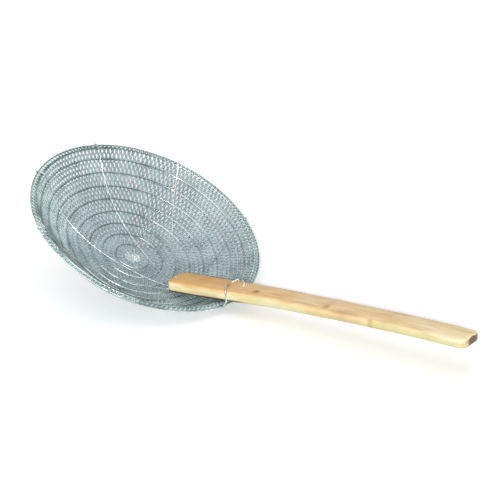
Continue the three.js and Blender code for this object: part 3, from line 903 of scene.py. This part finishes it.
def end_grain_material():
    material, tree, shader = tree_of("bamboo_end")
    place = place_on_handle(tree, 1.0)
    cells = node(tree, "ShaderNodeTexVoronoi", Vector=place, Scale=END_CELLS).outputs["Distance"]
    colour = mixed(tree, spread(tree, cells, END_CELL_RANGE), *END_WOOD)
    stain = spread(tree, noise(tree, place, END_STAIN_SCALE), END_STAIN_RANGE, (0.0, END_STAIN_STRENGTH))
    colour = mixed(tree, stain, colour, END_STAIN)
    pale = spread(tree, value_of(tree, "across"), CUT_ACROSS, (END_PALE_STRENGTH, 0.0))
    feed(tree, shader, Base_Color=mixed(tree, pale, colour, END_PALE), Roughness=END_ROUGHNESS)
    return material


piece("bamboo_handle", handle_mesh(), [bamboo_material(), end_grain_material()], "bamboo", "handle")

# Ribs

def rib_tail(across):
    """The start of a rib, under the handle or beside it."""
    if abs(across) <= NOSE_WIDTH / 2:
        shares = np.linspace(1, 0, RIB_TAIL_STEPS + 1)
        return [on_handle(RIB_TAIL * share, across, -RIB_NEST) for share in shares]
    beside = on_handle(RIB_TAIL, across, 0)
    return [over_wall(np.hypot(*beside[:2]), np.arctan2(beside[1], beside[0]), rib_height)]


def rib_line(angle, across, bow):
    tail = rib_tail(across)
    start = tail[-1]
    end = over_wall(EDGE_RADIUS, angle, 0.0)
    layer = HOOP_DIAMETER / 2 + WRAP_DIAMETER + RIB_DIAMETER / 2
    share = np.arange(1, RIB_STEPS + 1)[:, None] / RIB_STEPS
    ahead = (end - start) / np.hypot(*(end - start)[:2])
    sideways = np.array([-ahead[1], ahead[0], 0])
    plan = start[None] + (end - start)[None] * share + sideways * bow * 4 * share * (1 - share)
    radius = np.hypot(plan[:, 0], plan[:, 1])
    climb = eased_step(share[:, 0], RIB_CLIMB, 1)
    height = rib_height + (HOOP_HEIGHT + layer - rib_height) * climb
    run = over_wall(radius, np.arctan2(plan[:, 1], plan[:, 0]), height)
    turn = np.arange(1, int(HOOK_TURNS * HOOK_STEPS) + 1) / HOOK_STEPS
    hook = round_rim(angle + turn * HOOK_PITCH / EDGE_RADIUS, -2 * np.pi * turn, layer)
    return np.concatenate([np.array(tail), run, hook])


def rib(number, degrees, across, bow, painted_light):
    line = rib_line(math.radians(degrees), across * MM, bow * MM)
    mesh = wires(
        f"rib_wire_{number}", [line], RIB_DIAMETER, RIB_SIDES, rib_wire, "bright_wire", f"rib_{number}",
    )
    # Painted highlight along the rib, from its five values
    places = np.linspace(0, 1, len(painted_light))
    set_painted_light(mesh, np.interp(np.linspace(0, 1, len(line)), places, painted_light), RIB_SIDES)


for rib_number, rib_values in enumerate(RIBS, 1):
    rib(rib_number, *rib_values)

# Ties

def bent(*points):
    """A line with each corner rounded, as bent wire is."""
    line = [points[0]]
    for before, at, after in zip(points, points[1:], points[2:]):
        back, ahead = before - at, after - at
        straight = min(np.linalg.norm(back), np.linalg.norm(ahead))
        reach = min(BEND_RADIUS, straight * BEND_SHARE)
        first = at + back / np.linalg.norm(back) * reach
        last = at + ahead / np.linalg.norm(ahead) * reach
        for share in np.linspace(0, 1, BEND_STEPS + 1):
            line.append((1 - share) ** 2 * first + 2 * share * (1 - share) * at + share**2 * last)
    line.append(points[-1])
    return np.array(line)


tie_gap = CLEARANCE + TIE_DIAMETER / 2
tie_layer = HOOP_DIAMETER / 2 + tie_gap
tie_seat = float(np.linalg.norm(over_wall(EDGE_RADIUS, 0.0, HOOP_HEIGHT) - on_handle(0, 0, 0)))
tie_side = handle_width(tie_seat) / 2 + tie_gap
tie_inside = tie_seat - tie_layer - TIE_DIAMETER
tie_outside = tie_seat + tie_layer + TIE_DIAMETER
tie_over = handle_thickness(tie_inside) + tie_gap
tie_edge = tie_over - HANDLE_CROWN


def round_outer_hoop(across):
    """From under the hoops up the outside of the rim, beside the handle."""
    angle = math.asin(across / EDGE_RADIUS)
    return [round_rim(angle, TIE_START + step * TIE_STEP, tie_layer) for step in range(TIE_STEPS)]


def near_tie_line():
    return bent(
        *round_outer_hoop(-tie_side),
        on_handle(tie_outside + NEAR_TIE_SHIFT, -tie_side, 0.0),
        on_handle(tie_outside + NEAR_TIE_SHIFT, -tie_side, tie_edge),
        on_handle(tie_inside, TIE_TOP, tie_over),
        on_handle(tie_inside - TIE_DIAMETER, TIE_TOP, tie_over - 2 * TIE_DIAMETER),
    )


def far_tie_line():
    curl_along, curl_across = TIE_CURL
    return bent(
        on_handle(tie_inside, tie_side - TIE_HOOK, tie_over - HANDLE_CROWN / 2),
        on_handle(tie_inside, tie_side, tie_edge),
        *round_outer_hoop(tie_side),
        on_handle(tie_outside, tie_side, tie_edge),
        on_handle(tie_outside + TIE_END, tie_side - TIE_END, tie_over - HANDLE_CROWN / 2),
        on_handle(tie_outside + curl_along, tie_side - curl_across, tie_over),
    )


def nose_tie_line():
    top = handle_thickness(0) + tie_gap
    return bent(
        on_handle(RIB_TAIL / 2, 0, -tie_gap),
        on_handle(-tie_gap, 0, -tie_gap),
        on_handle(-tie_gap, 0, top),
        on_handle(NOSE_TIE_REACH, -NOSE_TIE_REACH, top),
    )


# A tie, with an even painted highlight along it
def tie(name, line, diameter, painted_light, node_name):
    mesh = wires(name, [line], diameter, RIB_SIDES, rib_wire, "bright_wire", node_name)
    set_painted_light(mesh, np.full(len(line), painted_light), RIB_SIDES)


tie("near_tie", near_tie_line(), NEAR_TIE_DIAMETER, NEAR_TIE_HIGHLIGHT, "rim_tie_1")
tie("far_tie", far_tie_line(), TIE_DIAMETER, TIE_HIGHLIGHT, "rim_tie_2")
tie("nose_loop", nose_tie_line(), TIE_DIAMETER, TIE_HIGHLIGHT, "nose_tie")

# Stage

def seen_ray(tree):
    """1 for rays that carry the background into the picture: straight, by a mirror or through glass."""
    path = node(tree, "ShaderNodeLightPath").outputs
    kinds = ("Is Camera Ray", "Is Glossy Ray", "Is Transmission Ray")
    return maths(tree, "MAXIMUM", *(path[kind] for kind in kinds))


def floor():
    square = ((-1, -1), (1, -1), (1, 1), (-1, 1))
    mesh = bpy.data.meshes.new("floor")
    mesh.from_pydata([(x * FLOOR_REACH, y * FLOOR_REACH, 0) for x, y in square], [], [(0, 1, 2, 3)])
    material, tree, shader = tree_of("floor")
    feed(tree, shader, Base_Color=FLOOR_COLOUR, Roughness=FLOOR_ROUGHNESS, Specular_IOR_Level=0.0)
    strength = maths(tree, "MULTIPLY", seen_ray(tree), FLOOR_GLOW)
    glow = node(tree, "ShaderNodeEmission", Color=WHITE, Strength=strength)
    added = node(tree, "ShaderNodeAddShader", i0=shader.outputs[0], i1=glow.outputs[0])
    feed(tree, tree.nodes["Material Output"], Surface=added.outputs[0])
    mesh.materials.append(material)
    obj = bpy.data.objects.new("floor", mesh)
    bpy.context.scene.collection.objects.link(obj)


def world():
    made = bpy.data.worlds.new("studio")
    made.use_nodes = True
    tree = made.node_tree
    strength = spread(tree, seen_ray(tree), (0.0, 1.0), (WORLD_LIGHT, WORLD_SEEN))
    feed(tree, tree.nodes["Background"], Color=WHITE, Strength=strength)
    bpy.context.scene.world = made


def looking_at(name, data, aim, azimuth, elevation, distance):
    """A lamp or camera turned to its aim, with the azimuth counted from the front to the right."""
    azimuth, elevation = math.radians(azimuth), math.radians(elevation)
    level = math.cos(elevation)
    back = Vector((math.sin(azimuth) * level, -math.cos(azimuth) * level, math.sin(elevation)))
    obj = bpy.data.objects.new(name, data)
    obj.location = aim + back * distance
    obj.rotation_euler = (-back).to_track_quat("-Z", "Y").to_euler()
    bpy.context.scene.collection.objects.link(obj)
    return obj


def lamp(name, energy, size, azimuth, elevation):
    data = bpy.data.lights.new(name, "SUN")
    data.energy = energy
    data.angle = math.radians(size)
    looking_at(name, data, Vector(), azimuth, elevation, LAMP_DISTANCE)


def camera():
    data = bpy.data.cameras.new("camera")
    data.lens = CAMERA_LENS
    data.sensor_width = CAMERA_SENSOR
    aim = bowl_origin + CAMERA_AIM
    obj = looking_at("camera", data, aim, CAMERA_AZIMUTH, CAMERA_ELEVATION, CAMERA_DISTANCE)
    bpy.context.scene.camera = obj


floor()
world()
lamp("flash", *FLASH)
lamp("ceiling", *CEILING)
camera()
bpy.context.scene.view_settings.view_transform = "Standard"
